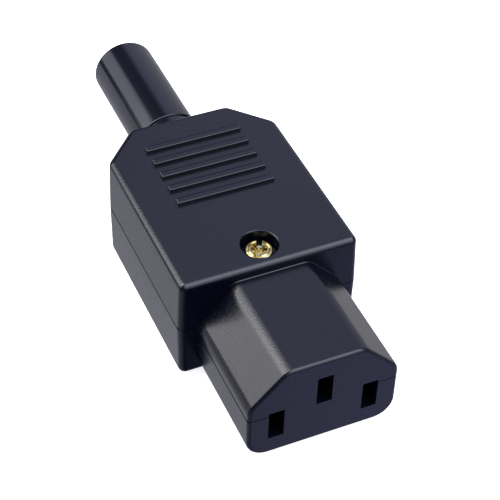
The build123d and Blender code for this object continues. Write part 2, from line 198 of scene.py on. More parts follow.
def open_group(name: str, inputs: dict[str, str], result: str) -> tuple[Tree, bpy.types.bpy_prop_collection]:
    """Starts a geometry node tree with named inputs.

    Args:
        name: Name of the tree.
        inputs: Kind of each input, by its name.
        result: Name of the geometry that the tree gives.

    Returns:
        The tree, and the sockets that its inputs come in by.
    """
    tree = bpy.data.node_groups.new(name, "GeometryNodeTree")
    for label, kind in inputs.items():
        tree.interface.new_socket(label, in_out="INPUT", socket_type=f"NodeSocket{kind}")
    tree.interface.new_socket(result, in_out="OUTPUT", socket_type="NodeSocketGeometry")
    return tree, add_node(tree, "NodeGroupInput").outputs


def close_group(tree: Tree, shape: Socket, finish: Socket) -> Tree:
    """Ends a geometry node tree: its instances become real and get their material.

    Args:
        tree: The tree.
        shape: Geometry that it ends with.
        finish: Material of all faces.

    Returns:
        The same tree.
    """
    real = add_node(tree, "GeometryNodeRealizeInstances", {"Geometry": shape}).outputs["Geometry"]
    dressed = add_node(tree, "GeometryNodeSetMaterial", {"Geometry": real, "Material": finish})
    add_node(tree, "NodeGroupOutput", {0: dressed.outputs["Geometry"]})
    return tree


def grow(piece: Piece, tree: Tree, values: dict) -> Piece:
    """Adds a geometry node tree to a piece, with its inputs set.

    Args:
        piece: Object that gets the modifier.
        tree: Geometry node tree.
        values: Value of each input, by the socket's name.

    Returns:
        The same object.
    """
    modifier = piece.modifiers.new(tree.name, "NODES")
    modifier.node_group = tree
    for item in tree.interface.items_tree:
        if item.in_out == "INPUT" and item.name in values:
            modifier[item.identifier] = values[item.name]
    return piece


@dataclass(frozen=True)
class Extent:
    """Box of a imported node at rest."""

    low: Vector
    high: Vector

    @classmethod
    def of(cls, node: str) -> "Extent":
        """Reads a node's box from the frame."""
        low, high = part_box(node)
        return cls(Vector(low), Vector(high))

    @property
    def centre(self) -> Vector:
        """Middle of the box."""
        return (self.low + self.high) / 2

    @property
    def size(self) -> Vector:
        """Length of the box along each axis."""
        return self.high - self.low


def link_piece(name: str, shape: Skin | None = None) -> Piece:
    """Puts a new object at the origin.

    Args:
        name: Name of the object and of its mesh.
        shape: Its shape, which is freed, or None for an empty mesh.

    Returns:
        The object.
    """
    mesh = bpy.data.meshes.new(name)
    if shape is not None:
        shape.to_mesh(mesh)
        shape.free()
    piece = bpy.data.objects.new(name, mesh)
    bpy.context.scene.collection.objects.link(piece)
    return piece


def bake(piece: Piece) -> Piece:
    """Turns what an object's modifiers make into its own plain mesh.

    Args:
        piece: Object whose modifiers are done.

    Returns:
        The same object, with a plain mesh and no modifiers.
    """
    bpy.context.view_layer.update()
    evaluated = piece.evaluated_get(bpy.context.evaluated_depsgraph_get())
    mesh = bpy.data.meshes.new_from_object(evaluated)
    piece.modifiers.clear()
    old = piece.data
    piece.data = mesh
    bpy.data.meshes.remove(old)
    mesh.name = piece.name
    return piece


def combine(piece: Piece, others: Sequence[Piece], operation: str) -> None:
    """Cuts closed tools from an object, or joins them to it, and removes the tools.

    Args:
        piece: Object that keeps the result.
        others: Closed objects to cut or join.
        operation: Boolean modifier's operation, DIFFERENCE or UNION.
    """
    for other in others:
        modifier = piece.modifiers.new(other.name, "BOOLEAN")
        modifier.operation, modifier.solver, modifier.object = operation, "EXACT", other
    bake(piece)
    for other in others:
        mesh = other.data
        bpy.data.objects.remove(other)
        bpy.data.meshes.remove(mesh)


def shade(piece: Piece, crease: float = 28.0, level: float = 0.3) -> None:
    """Shades rounded edges smooth and keeps flats flat.

    Each corner of a face looks the way of the widest flat that it touches within the crease
    angle, so a round edge runs into its flats with no false shade.

    Args:
        piece: Object with a plain mesh.
        crease: Angle in degrees past which an edge stays sharp.
        level: Angle in degrees under which two faces belong to one flat.
    """
    bm = bmesh.new()
    bm.from_mesh(piece.data)
    bm.faces.ensure_lookup_table()
    flat_of = [-1] * len(bm.faces)
    areas: list[float] = []
    for seed in bm.faces:
        if flat_of[seed.index] >= 0:
            continue
        flat_of[seed.index], area, queue = len(areas), 0.0, [seed]
        while queue:
            face = queue.pop()
            area += face.calc_area()
            for edge in face.edges:
                if not edge.is_manifold or edge.calc_face_angle(math.pi) > math.radians(level):
                    continue
                for other in edge.link_faces:
                    if flat_of[other.index] < 0:
                        flat_of[other.index] = len(areas)
                        queue.append(other)
        areas.append(area)
    least = math.cos(math.radians(crease))
    looks = []
    for face in bm.faces:
        for loop in face.loops:
            look = Vector((0.0, 0.0, 0.0))
            for other in loop.vert.link_faces:
                if other.normal.dot(face.normal) > least:
                    look += other.normal * areas[flat_of[other.index]] ** 2
            looks.append(look.normalized() if look.length > 0 else face.normal.copy())
    bm.free()
    piece.data.shade_smooth()
    piece.data.normals_split_custom_set(looks)


def merged_copy(node: str) -> Skin:
    """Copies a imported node's loose triangles into one closed skin.

    Args:
        node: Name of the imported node.

    Returns:
        A new bmesh, which the caller frees.
    """
    bm = bmesh.new()
    bm.from_mesh(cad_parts[node].data)
    bmesh.ops.remove_doubles(bm, verts=bm.verts, dist=2 * WELD)
    return bm


def lofted(name: str, rows: Sequence[Sequence[Vector]]) -> Piece:
    """Skins a row of outlines into a closed object.

    Args:
        name: Name of the new object.
        rows: Closed outlines in order, each with the same number of points.

    Returns:
        The new object, with a face over its first and its last outline.
    """
    bm = bmesh.new()
    loops = [[bm.verts.new(point) for point in row] for row in rows]
    bm.faces.new(loops[0])
    bm.faces.new(loops[-1])
    for loop, after in zip(loops, loops[1:]):
        for j in range(len(loop)):
            k = (j + 1) % len(loop)
            bm.faces.new((loop[j], loop[k], after[k], after[j]))
    bmesh.ops.recalc_face_normals(bm, faces=bm.faces)
    return link_piece(name, bm)


def wedge(name: str, floor: Sequence[Point], halves: Pair, over: float, place: Matrix) -> Piece:
    """Makes a closed cutting tool from its floor's profile and its half-widths.

    Args:
        name: Name of the tool.
        floor: Points of the floor as (along, height), with the mouth at height 0.
        halves: Half of the width at the mouth and at the floor's lowest point.
        over: How far the tool stands out of the mouth.
        place: Where the middle of the mouth goes, and how the tool is turned.

    Returns:
        The tool.
    """
    lowest = min(z for _, z in floor)
    rows = []
    for sign in (-1, 1):
        row = []
        for along, height in (*floor, (floor[-1][0], over), (floor[0][0], over)):
            share = min(max(height / lowest, 0.0), 1.0)
            half = halves[0] + (halves[1] - halves[0]) * share
            row.append(place @ Vector((sign * half, along, height)))
        rows.append(row)
    return lofted(name, rows)


def strip(name: str, path: Sequence[Point], deep: float, low: float, high: float) -> Piece:
    """Makes a thin band that stands astride an outline, as a tool that cuts a groove in it.

    Args:
        name: Name of the tool.
        path: Points of the outline in plan.
        deep: How far the band reaches to each side of the outline.
        low: Height of its lower face.
        high: Height of its upper face.

    Returns:
        The tool as a closed object.
    """
    points = [Vector(p) for p in path]
    rows = []
    for i, point in enumerate(points):
        near = points[max(i - 1, 0) : i + 2]
        ways = [(end - start).normalized() for start, end in zip(near, near[1:])]
        normals = [Vector((way.y, -way.x)) for way in ways]
        miter = sum(normals, Vector((0, 0))).normalized()
        reach = miter * (deep / miter.dot(normals[0]))
        inner, outer = point - reach, point + reach
        rows.append([Vector((*p, z)) for p, z in ((inner, low), (outer, low), (outer, high), (inner, high))])
    return lofted(name, rows)


def arc(centre: Point, radius: float, start: float, end: float, steps: int) -> list[Point]:
    """Gives points on an arc in a profile's plane.

    Args:
        centre: Middle of the arc, as (along the axis, out from the axis).
        radius: Radius of the arc.
        start: Angle in degrees of the first point, from the axis direction.
        end: Angle in degrees of the last point.
        steps: Number of stretches between the points.

    Returns:
        The points, both ends included.
    """
    angles = [math.radians(start + (end - start) * i / steps) for i in range(steps + 1)]
    return [(centre[0] + radius * math.cos(a), centre[1] + radius * math.sin(a)) for a in angles]


def turned(name: str, profile: Sequence[Point], axis: Axis, centre: Vector, steps: int, ring: bool) -> Piece:
    """Turns a profile round a centre line into a closed skin.

    Args:
        name: Name of the new object.
        profile: Points as (along the axis, out from the axis).
        axis: Direction of the centre line.
        centre: A point on the centre line, where distance along it is 0.
        steps: Number of stretches round the turn.
        ring: True where the profile closes on itself round a bore, False where both ends lie on the axis.

    Returns:
        The new object.
    """
    bm = bmesh.new()
    rows = []
    for i in range(steps):
        angle = 2 * math.pi * i / steps
        across, other = math.cos(angle), math.sin(angle)
        row = []
        for along, out in profile:
            if axis is Axis.UP:
                offset = Vector((out * across, out * other, along))
            else:
                offset = Vector((out * other, along, out * across))
            row.append(bm.verts.new(centre + offset))
        rows.append(row)
    stretches = len(profile) if ring else len(profile) - 1
    for i, row in enumerate(rows):
        after = rows[(i + 1) % steps]
        for j in range(stretches):
            k = (j + 1) % len(profile)
            bm.faces.new((row[j], after[j], after[k], row[k]))
    bmesh.ops.remove_doubles(bm, verts=bm.verts, dist=WELD)
    bmesh.ops.dissolve_degenerate(bm, edges=bm.edges, dist=WELD)
    bmesh.ops.recalc_face_normals(bm, faces=bm.faces)
    return link_piece(name, bm)


class Finish(ABC):
    """A surface finish that makes its own material once."""

    label: str

    @abstractmethod
    def paint(self, tree: Tree, shader: Node) -> None:
        """Sets the shader's values and adds the nodes of this finish.

        Args:
            tree: The material's tree.
            shader: Its Principled BSDF.
        """

    def material(self) -> bpy.types.Material:
        """Makes the finish's material at its first use.

        Returns:
            The material.
        """
        made = bpy.data.materials.get(self.label)
        if not made:
            made = bpy.data.materials.new(self.label)
            made.use_nodes = True
            self.paint(made.node_tree, made.node_tree.nodes["Principled BSDF"])
        return made

    def on(self, piece: Piece) -> None:
        """Gives every face of a piece this finish.

        Args:
            piece: Object that is dressed.
        """
        if not piece.data.materials:
            piece.data.materials.append(None)
        for slot in piece.material_slots:
            slot.link = "OBJECT"
            slot.material = self.material()


@dataclass(frozen=True)
class SparkErodedPolyamide(Finish):
    """Glass-filled polyamide 6, injection moulded in a spark-eroded mould.

    The mould's craters leave a fine even grain, which breaks a reflection's edge into specks
    and lays a satin bloom over the black.
    """

    label: str = "spark_eroded_polyamide"
    colour: str = "#040510"
    colour_worn: str = "#060713"
    flow: float = 9.0 * MM
    roughness: float = 0.245
    roughness_spread: float = 0.05
    ior: float = 1.53
    # Specular level, which lies lower at two places, where it paints shade
    shine: float = 0.5
    grain: float = 0.28 * MM
    grain_height: float = 0.016 * MM
    # Values of the grain's noise between which the roughness runs
    grain_span: Pair = (0.3, 0.7)
    lattice_turn: tuple[float, float, float] = (0.61, 0.37, 0.93)
    # Share of the grain's height on walls that slide out along the mould, whose texture is shallow,
    # and how far up a face looks on such a wall and where the texture is whole
    wall_share: float = 0.25
    wall_span: Pair = (0.05, 0.95)
    # The wall of the screw's recess gets a low specular level, which paints the shade that falls into the recess
    recess: Point = (0.0, 22.37 * MM)
    recess_radius: float = 2.78 * MM
    recess_upright: float = 0.2
    recess_shade_shine: float = 0.08
    # The casing's front beside the nose gets a low specular level too, most on its left, which paints the shade that
    # the nose and the floor cast there. Here are the front's places along Y, its normal's part along Y on its
    # rounded edges and on its flat, half of its width, and its specular level on the left and on the right
    front: Pair = (17.85 * MM, 19.15 * MM)
    front_span: Pair = (-0.75, -0.97)
    front_half: float = 13.8 * MM
    front_shade_shine: Pair = (0.06, 0.36)

    def paint(self, tree: Tree, shader: Node) -> None:
        """Sets black polyamide with a fine grain and faint flow clouds.

        Args:
            tree: The material's tree.
            shader: Its Principled BSDF.
        """
        surface = add_node(tree, "ShaderNodeTexCoord").outputs
        place = surface["Object"]
        normal = add_node(tree, "ShaderNodeSeparateXYZ", {0: surface["Normal"]}).outputs
        upright = calc(tree, "ABSOLUTE", normal["Z"])
        # The noise repeats on a lattice, which is turned so that no flat of the casing runs along it
        askew = add_node(tree, "ShaderNodeMapping", {"Vector": place, "Rotation": self.lattice_turn})
        grain = noise(tree, askew.outputs["Vector"], self.grain, detail=2.0, roughness=0.6)
        cloud = noise(tree, place, self.flow, detail=3.0)
        ends = (self.roughness - self.roughness_spread, self.roughness + self.roughness_spread)
        depth = remap(tree, upright, self.wall_span, (self.wall_share, 1.0))
        look = {
            "Base Color": blend(tree, cloud, linear(self.colour), linear(self.colour_worn)),
            "Roughness": remap(tree, grain, self.grain_span, ends),
            "Normal": bumps(tree, grain, self.grain_height, depth),
            "Specular IOR Level": self.gloss_with_painted_shade(tree, place, upright, normal["Y"]),
            "IOR": self.ior,
        }
        feed(tree, shader, look)

    def gloss_with_painted_shade(self, tree: Tree, place: Socket, upright: Socket, ahead: Socket) -> Socket:
        """Paints shade by a low specular level on the wall of the screw's recess and on the casing's front, and
        leaves the rest glossy.

        Args:
            tree: The material's tree.
            place: Place on the object.
            upright: How far the surface faces up or down, from 0 to 1.
            ahead: The normal's part along +Y.

        Returns:
            The specular level.
        """
        spot = add_node(tree, "ShaderNodeSeparateXYZ", {0: place}).outputs
        plan = add_node(tree, "ShaderNodeCombineXYZ", {"X": spot["X"], "Y": spot["Y"]}).outputs[0]
        away = add_node(tree, "ShaderNodeVectorMath", {0: plan, 1: (*self.recess, 0.0)}, operation="DISTANCE")
        # The recess's wall: painted shade, by a low specular level
        near = calc(tree, "LESS_THAN", away.outputs["Value"], self.recess_radius)
        wall = calc(tree, "LESS_THAN", upright, self.recess_upright)
        # The casing's front beside the nose: painted shade, by a specular level that falls toward the left
        behind = calc(tree, "GREATER_THAN", spot["Y"], self.front[0])
        before = calc(tree, "LESS_THAN", spot["Y"], self.front[1])
        facing = calc(tree, "MULTIPLY", behind, remap(tree, ahead, self.front_span))
        shaded_shine = remap(tree, spot["X"], (-self.front_half, self.front_half), self.front_shade_shine)
        level = remap(tree, calc(tree, "MULTIPLY", facing, before), target=(self.shine, shaded_shine))
        return remap(tree, calc(tree, "MULTIPLY", near, wall), target=(level, self.recess_shade_shine))


@dataclass(frozen=True)
class PolishedPvc(Finish):
    """Plasticised PVC moulded on a polished core and in a polished cavity.

    The skin is glossy, so light panels show in it as long soft bands, slightly wavy where the
    soft wall shrank.
    """

    label: str = "polished_pvc"
    colour: str = "#05060f"
    roughness: float = 0.13
    ior: float = 1.53
    wave: float = 4.0 * MM
    wave_height: float = 0.01 * MM

    def paint(self, tree: Tree, shader: Node) -> None:
        """Sets glossy black with slow waves.

        Args:
            tree: The material's tree.
            shader: Its Principled BSDF.
        """
        place = add_node(tree, "ShaderNodeTexCoord").outputs["Object"]
        normal = bumps(tree, noise(tree, place, self.wave, detail=1.0), self.wave_height)
        look = {"Base Color": linear(self.colour), "Roughness": self.roughness, "IOR": self.ior, "Normal": normal}
        feed(tree, shader, look)


@dataclass(frozen=True)
class PlatedMetal(Finish):
    """Metal under a thin finish, with a rolled, stamped or turned surface.

    Streaks along the working direction spread its highlights, and the finish's tint drifts
    slowly from place to place.
    """

    label: str
    colour: str
    colour_deep: str
    roughness: float
    streak: float
    cloud: float
    # Values of the noise between which one tint gives way to the other
    cloud_span: Pair = (0.0, 1.0)
    streak_height: float = 0.003 * MM
    # Streaks are ten times as long as they are wide
    streak_squeeze: tuple[float, float, float] = (1.0, 0.1, 1.0)

    def paint(self, tree: Tree, shader: Node) -> None:
        """Sets a metal whose tint clouds and whose surface is streaked.

        Args:
            tree: The material's tree.
            shader: Its Principled BSDF.
        """
        place = add_node(tree, "ShaderNodeTexCoord").outputs["Object"]
        share = remap(tree, noise(tree, place, self.cloud, detail=3.0), self.cloud_span)
        squeezed = add_node(tree, "ShaderNodeMapping", {"Vector": place, "Scale": self.streak_squeeze})
        streak = noise(tree, squeezed.outputs["Vector"], self.streak, detail=2.0)
        look = {
            "Base Color": blend(tree, share, linear(self.colour), linear(self.colour_deep)),
            "Normal": bumps(tree, streak, self.streak_height),
            "Metallic": 1.0,
            "Roughness": self.roughness,
        }
        feed(tree, shader, look)


BRASS = PlatedMetal("stamped_brass", "#d9b878", "#c79f58", 0.28, 0.12 * MM, 5.0 * MM)
SPRING_STEEL = PlatedMetal("rolled_spring_steel", "#c9c9cc", "#b2b3b8", 0.3, 0.1 * MM, 4.0 * MM)
ZINC = PlatedMetal("blue_passivated_zinc", "#cfd2d6", "#b9bec6", 0.25, 0.15 * MM, 2.0 * MM)
YELLOW_ZINC = PlatedMetal("yellow_passivated_zinc", "#e8dd9e", "#967a28", 0.2, 0.15 * MM, 0.9 * MM, (0.38, 0.66))
BLACKENED = PlatedMetal("blackened_steel", "#3a3a3e", "#2a2a2e", 0.4, 0.15 * MM, 1.5 * MM)
CASING = SparkErodedPolyamide()
SLEEVE = PolishedPvc()


def settle(piece: Piece, finish: Finish, body: str, nodes: Iterable[str]) -> None:
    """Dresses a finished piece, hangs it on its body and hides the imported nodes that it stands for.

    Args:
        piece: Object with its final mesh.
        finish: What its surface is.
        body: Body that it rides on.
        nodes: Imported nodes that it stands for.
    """
    finish.on(piece)
    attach(piece, body)
    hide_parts(*nodes)
    low, high = (Vector(f(v.co[i] for v in piece.data.vertices) for i in range(3)) for f in (min, max))
    sides = " x ".join(f"{side / MM:.2f}" for side in high - low)
    log.info("%s: %s mm, %d faces, %s", piece.name, sides, len(piece.data.polygons), finish.label)


@dataclass(frozen=True)
class GripRibs:
    """Row of raised bars on the cover that the fingers pull on."""

    count: int = 5
    pitch: float = 3.135 * MM
    wide: float = 1.4 * MM
    long: float = 15.2 * MM
    edge_round: float = 0.16 * MM
    back_round: float = 0.5 * MM
    round_steps: int = 5
    # Only the upper back edge's middle lies farther back and up than this share of the bar's size
    back_share: float = 0.25
    sunk: float = 0.3 * MM

    def tree(self) -> Tree:
        """Builds the node tree that repeats one bar along Y.

        Returns:
            A tree with inputs for the count, pitch, size and start of the row, and for the share of
            the bevel's width that every edge but the upper back one takes.
        """
        kinds = {"Count": "Int", "Pitch": "Float", "Size": "Vector", "Start": "Vector"}
        tree, given = open_group("grip_ribs", kinds | {"Edge Share": "Float", "Finish": "Material"}, "Ribs")
        step = add_node(tree, "ShaderNodeCombineXYZ", {"Y": given["Pitch"]}).outputs["Vector"]
        places = {"Count": given["Count"], "Start Location": given["Start"], "Offset": step}
        row = add_node(tree, "GeometryNodeMeshLine", places)
        bar = add_node(tree, "GeometryNodeMeshCube", {"Size": given["Size"]})
        # Each edge's middle as a share of the bar's size, which is 0.5 at the upper back edge both ways
        middle = add_node(tree, "GeometryNodeInputPosition").outputs["Position"]
        place = add_node(tree, "ShaderNodeVectorMath", {0: middle, 1: given["Size"]}, operation="DIVIDE")
        part = add_node(tree, "ShaderNodeSeparateXYZ", {0: place.outputs["Vector"]}).outputs
        back = calc(tree, "GREATER_THAN", calc(tree, "MINIMUM", part["Y"], part["Z"]), self.back_share)
        share = remap(tree, back, target=(given["Edge Share"], 1.0))
        named = {"Geometry": bar.outputs["Mesh"], "Name": "bevel_weight_edge", "Value": share}
        weighed = add_node(tree, "GeometryNodeStoreNamedAttribute", named, data_type="FLOAT", domain="EDGE")
        copies = {"Points": row.outputs["Mesh"], "Instance": weighed.outputs["Geometry"]}
        bars = add_node(tree, "GeometryNodeInstanceOnPoints", copies)
        return close_group(tree, bars.outputs["Instances"], given["Finish"])

    def build(self, top: float, crest: float, first: float) -> Piece:
        """Makes the bars as closed solids that reach a little into the cover.

        Args:
            top: Height of the cover's top face.
            crest: Height of the bars' crests.
            first: Place along Y of the first bar's front face.

        Returns:
            The bars as one object, with rounded edges.
        """
        low = top - self.sunk
        values = {
            "Count": self.count,
            "Pitch": self.pitch,
            "Size": (self.long, self.wide, crest - low),
            "Start": (0.0, first + self.wide / 2, (low + crest) / 2),
            "Edge Share": self.edge_round / self.back_round,
            "Finish": CASING.material(),
        }
        ribs = grow(link_piece("grip_ribs"), self.tree(), values)
        bevel = ribs.modifiers.new("edges", "BEVEL")
        bevel.width, bevel.segments, bevel.limit_method = self.back_round, self.round_steps, "WEIGHT"
        return bake(ribs)


@dataclass(frozen=True)
class Casing:
    """Cover and base, which meet on a parting line, with grip ribs and the screw's recess."""

    ribs: GripRibs = GripRibs()
    rib_tall: float = 0.55 * MM
    rib_end_margin: float = 5.26 * MM
    # Outline in plan, and the heights at which the nose and the body part
    nose_long: float = 18.15 * MM
    nose_half: float = 11.2 * MM
    tail_half: float = 7.92 * MM
    bevel_along: float = 6.35 * MM
    outer_slot_outside: float = 8.16 * MM
    nose_split: float = 2.0 * MM
    body_split: float = 2.85 * MM
    flank_groove: float = 0.3 * MM
    face_groove: float = 0.13 * MM
    groove_deep: float = 0.25 * MM
    # How far tools overlap, so that no two faces lie in one plane
    sunk: float = 0.02 * MM
    recess_radius: float = 2.73 * MM
    rim_round: float = 0.2 * MM
    # Hollow round at the nose's root, which thins out across the left ridge to its least share
    root_round: float = 0.19 * MM
    root_sunk: float = 0.06 * MM
    root_fade: Pair = (-7.2 * MM, -5.2 * MM)
    root_least: float = 0.2
    round_steps: int = 5
    # Least part of a normal along Y on the casing's front, and the most on the nose's skin
    front_least: float = 0.99
    skin_most: float = 0.1
    # How close to a plane a point of it lies, and decimals of a metre that tell two points apart
    near: float = 0.001 * MM
    decimals: int = 7

    def build(self) -> None:
        """Makes both shells and dresses them."""
        whole = Extent.of("upper_shell")
        top = whole.high.z - self.rib_tall
        cover = link_piece("cover_shell", self.planed_cover(top))
        rows = (self.ribs.count - 1) * self.ribs.pitch
        first = whole.high.y - self.rib_end_margin - self.ribs.wide - rows
        combine(cover, [self.ribs.build(top, whole.high.z, first), self.root_fillet()], "UNION")
        combine(cover, self.groove(whole, above=True), "DIFFERENCE")
        base = link_piece("base_shell", merged_copy("lower_shell"))
        combine(base, self.groove(whole, above=False), "DIFFERENCE")
        for shell, node in ((cover, "upper_shell"), (base, "lower_shell")):
            shade(shell)
            settle(shell, CASING, "casing", [node])

    def planed_cover(self, top: float) -> Skin:
        """Copies the cover without its ribs, and rounds the rim of the screw's recess.

        Args:
            top: Height of the cover's top face.

        Returns:
            The cover, closed again.
        """
        bm = merged_copy("upper_shell")
        screw = Extent.of("assembly_screw").centre
        flat = [face for face in bm.faces if all(v.co.z > top - self.near for v in face.verts)]
        bmesh.ops.delete(bm, geom=flat, context="FACES")
        rim = [e for e in bm.edges if e.is_boundary and self.on_recess(e, screw)]
        loop = self.round_rim(bm, rim, screw, top)
        outer = [e for e in bm.edges if e.is_boundary and e not in rim and e not in loop]
        bmesh.ops.triangle_fill(bm, edges=outer + loop, use_beauty=True, normal=Vector((0, 0, 1)))
        return bm

    def on_recess(self, edge: bmesh.types.BMEdge, screw: Vector) -> bool:
        """Tells whether an edge lies on the recess's rim."""
        return max((v.co - screw).xy.length for v in edge.verts) < self.recess_radius + self.rim_round

    def round_rim(self, bm: Skin, rim: list, screw: Vector, top: float) -> list:
        """Lowers the recess's rim and rolls it out to the top face on a quarter round.

        Args:
            bm: The cover.
            rim: Open edges at the top of the recess's wall.
            screw: A point on the screw's centre line.
            top: Height of the cover's top face.

        Returns:
            The open edges of the new, wider rim.
        """
        for vert in {v for e in rim for v in e.verts}:
            vert.co.z = top - self.rim_round
        edges = rim
        for step in range(1, self.round_steps + 1):
            grown = bmesh.ops.extrude_edge_only(bm, edges=edges)["geom"]
            edges = [g for g in grown if isinstance(g, bmesh.types.BMEdge) and g.is_boundary]
            angle = math.pi / 2 * step / self.round_steps
            radius = self.recess_radius + self.rim_round * (1 - math.cos(angle))
            height = top - self.rim_round * (1 - math.sin(angle))
            for vert in {g for g in grown if isinstance(g, bmesh.types.BMVert)}:
                out = (vert.co - screw).xy.normalized() * radius
                vert.co = Vector((screw.x + out.x, screw.y + out.y, height))
        return edges

    def root_corner(self) -> dict[Point, Vector]:
        """Follows the hollow corner between the nose's skin and the casing's front on the cover.

        Returns:
            The way out of the nose at each place (x, z) of the corner, in order round the nose.
        """
        bm = merged_copy("upper_shell")
        looks: dict[Point, Vector] = {}
        for edge in bm.edges:
            if len(edge.link_faces) != 2 or any(abs(v.co.y - self.nose_long) > self.near for v in edge.verts):
                continue
            front, skin = sorted(edge.link_faces, key=lambda face: face.normal.y)
            middle = (edge.verts[0].co + edge.verts[1].co) / 2
            outward = skin.normal.dot(middle - Vector((0, middle.y, self.nose_split))) > 0
            hollow = (front.calc_center_median() - middle).dot(skin.normal) > self.near
            square = front.normal.y <= -self.front_least and abs(skin.normal.y) <= self.skin_most
            if square and outward and hollow:
                for vert in edge.verts:
                    spot = (round(vert.co.x, self.decimals), round(vert.co.z, self.decimals))
                    looks[spot] = looks.get(spot, Vector((0, 0, 0))) + skin.normal
        bm.free()
        spots = sorted(looks, key=lambda spot: math.atan2(spot[1] - self.nose_split, spot[0]))
        return {spot: looks[spot].normalized() for spot in spots}

    def root_fillet(self) -> Piece:
        """Makes the hollow round at the nose's root, closed and reaching a little into both walls."""
        size, sunk = self.root_round, self.root_sunk
        bow = [math.pi / 2 * i / self.round_steps for i in range(self.round_steps + 1)]
        section = [(-sunk, -sunk), (size, -sunk)]
        section += [(size - size * math.sin(a), size - size * math.cos(a)) for a in bow]
        section.append((-sunk, size))
        start, end = self.root_fade
        rows = []
        for (x, z), out in self.root_corner().items():
            share = min(max((x - start) / (end - start), self.root_least), 1.0)
            corner = Vector((x, self.nose_long, z))
            rows.append([corner + (out * away - Vector((0, along, 0))) * share for away, along in section])
        log.info("root fillet: %d places", len(rows))
        return lofted("root_fillet", rows)

    def groove(self, whole: Extent, above: bool) -> list[Piece]:
        """Makes the tools that open a line along the parting plane, half in each shell.

        Args:
            whole: Box of the cover.
            above: True for the cover's half, False for the base's.

        Returns:
            One closed tool for each stretch of the line.
        """
        side, front, back = whole.high.x, self.nose_long, whole.high.y
        over, body, nose = self.sunk, self.body_split, self.nose_split
        flank = [(side, front), (side, back - self.bevel_along), (self.tail_half, back)]
        lines = [("body_line", body, self.flank_groove, flank + [(-x, y) for x, y in reversed(flank)])]
        for sign in (-1, 1):
            skin, slot, outer = sign * self.nose_half, sign * self.outer_slot_outside, sign * side
            lines += [
                ("front_line", body, self.face_groove, [(skin + sign * over, front), (outer, front)]),
                ("nose_line", nose, self.flank_groove, [(skin, front - over), (skin, 0.0)]),
                ("face_line", nose, self.face_groove, [(skin, 0.0), (slot, 0.0)]),
            ]
        tools = []
        for name, level, wide, path in lines:
            low, high = (level - over, level + wide / 2) if above else (level - wide / 2, level + over)
            tools.append(strip(name, path, self.groove_deep, low, high))
        return tools


@dataclass(frozen=True)
class CordSleeve:
    """Rubbery sleeve whose flange and collar grip the casing's back wall."""

    cord_radius: float = 3.5 * MM
    sleeve_radius: float = 5.1 * MM
    neck_radius: float = 4.85 * MM
    collar_radius: float = 5.45 * MM
    flange_long: float = 2.3 * MM
    wall: float = 1.6 * MM
    collar_long: float = 4.25 * MM
    bead_radius: float = 0.24 * MM
    bead_steps: int = 12
    root_round: float = 0.12 * MM
    end_round: float = 0.5 * MM
    end_steps: int = 8
    mouth_round: float = 0.3 * MM
    round_steps: int = 5
    steps: int = 128

    def build(self) -> None:
        """Turns the sleeve from its profile and dresses it."""
        whole = Extent.of("cord_boot")
        flange_radius = whole.size.x / 2
        flange, end = whole.low.y, whole.high.y
        seat = flange + self.flange_long
        back = seat + self.wall
        collar = back + self.collar_long
        body, lip, root = self.sleeve_radius, self.end_round, self.root_round
        mouth, bead = self.mouth_round, self.bead_radius
        valley = self.collar_radius - bead
        profile = [
            (flange, self.cord_radius),
            (flange, flange_radius),
            (seat, flange_radius),
            (seat, self.neck_radius),
            (back, self.neck_radius),
            (back, valley),
            *arc((collar - bead, valley), bead, 180, 0, self.bead_steps),
            *arc((collar + root, body + root), root, 180, 270, self.round_steps),
            *arc((end - lip, body - lip), lip, 90, 0, self.end_steps),
            *arc((end - mouth, self.cord_radius + mouth), mouth, 0, -90, self.round_steps),
        ]
        centre = Vector((whole.centre.x, 0.0, whole.high.z - flange_radius))
        sleeve = turned("cord_sleeve", profile, Axis.ALONG, centre, self.steps, ring=True)
        shade(sleeve)
        settle(sleeve, SLEEVE, "casing", ["cord_boot"])


# A thread's ridge is swept along its helix in this many steps a turn, with this many sides. A
# three-sided ring is one and a half times as high as its radius, so a radius of this share of the
# thread's depth puts the ridge's foot a little inside the core
TURN_STEPS = 32
RIDGE_SIDES = 3
RIDGE_SHARE = 0.75


@cache
def thread_tree() -> Tree:
    """Builds the node tree that sweeps a three-sided ridge along a helix.

    Returns:
        The tree, made once, with inputs for the radii, pitch, length and start.
    """
    kinds = {name: "Float" for name in ("Core Radius", "Crest Radius", "Pitch", "Length")}
    tree, given = open_group("screw_thread", kinds | {"Start": "Vector", "Finish": "Material"}, "Thread")
    deep = calc(tree, "SUBTRACT", given["Crest Radius"], given["Core Radius"])
    size = calc(tree, "MULTIPLY", deep, RIDGE_SHARE)
    middle = calc(tree, "SUBTRACT", given["Crest Radius"], size)
    coil = {
        "Resolution": TURN_STEPS,
        "Rotations": calc(tree, "DIVIDE", given["Length"], given["Pitch"]),
        "Start Radius": middle,
        "End Radius": middle,
        "Height": given["Length"],
    }
    helix = add_node(tree, "GeometryNodeCurveSpiral", coil).outputs["Curve"]
    upright = add_node(tree, "GeometryNodeSetCurveNormal", {"Curve": helix}, mode="Z_UP").outputs["Curve"]
    ridge = add_node(tree, "GeometryNodeCurvePrimitiveCircle", {"Resolution": RIDGE_SIDES, "Radius": size})
    sweep = {"Curve": upright, "Profile Curve": ridge.outputs["Curve"], "Fill Caps": True}
    swept = add_node(tree, "GeometryNodeCurveToMesh", sweep).outputs["Mesh"]
    placed = add_node(tree, "GeometryNodeTransform", {"Geometry": swept, "Translation": given["Start"]})
    return close_group(tree, placed.outputs["Geometry"], given["Finish"])


